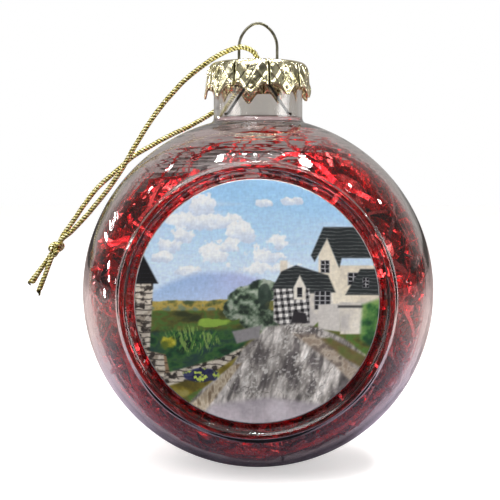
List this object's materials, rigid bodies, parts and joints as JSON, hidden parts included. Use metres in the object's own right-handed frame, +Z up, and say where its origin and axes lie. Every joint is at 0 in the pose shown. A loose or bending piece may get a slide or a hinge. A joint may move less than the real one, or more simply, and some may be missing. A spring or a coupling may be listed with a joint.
{
  "type": "christmas bauble",
  "caption": "Clear plastic bauble with a flat round picture disc in a well on each face, red foil tinsel inside, a crown cap with a wire loop, and a knotted gold cord.",
  "frame": {"origin": "centre of the flattened base", "axes": "+Z up through the neck and the hanger loop, -Y out of the front picture, +X to the right of someone facing the front picture"},
  "size_m": [0.0937, 0.0556, 0.101],
  "materials": {
    "clear_plastic": "polished",
    "adhesive_film": "matte",
    "printed_disc": "gloss",
    "red_foil": "gloss",
    "cap_gold": "polished",
    "wire_steel": "satin",
    "gold_cord": "satin"
  },
  "bodies": {
    "bauble": {"bauble_body": "clear_plastic", "front_film": "adhesive_film", "front_disc": "printed_disc", "back_film": "adhesive_film", "back_disc": "printed_disc", "tinsel_filling": "red_foil"},
    "cap": {"crown_cap": "cap_gold", "cord_front_strand": "gold_cord", "cord_back_strand": "gold_cord", "cord_knot": "gold_cord", "cord_tail_left": "gold_cord", "cord_tail_right": "gold_cord"},
    "hanger": {"hanger_wire": "wire_steel"}
  },
  "joints": [
    {"name": "cap_lift", "type": "slide", "parent": "bauble", "child": "cap", "axis": [0, 0, 1], "range_m": [0, 0.016]},
    {"name": "hanger_slide", "type": "slide", "parent": "cap", "child": "hanger", "axis": [0, 0, 1], "range_m": [-0.003, 0]}
  ]
}
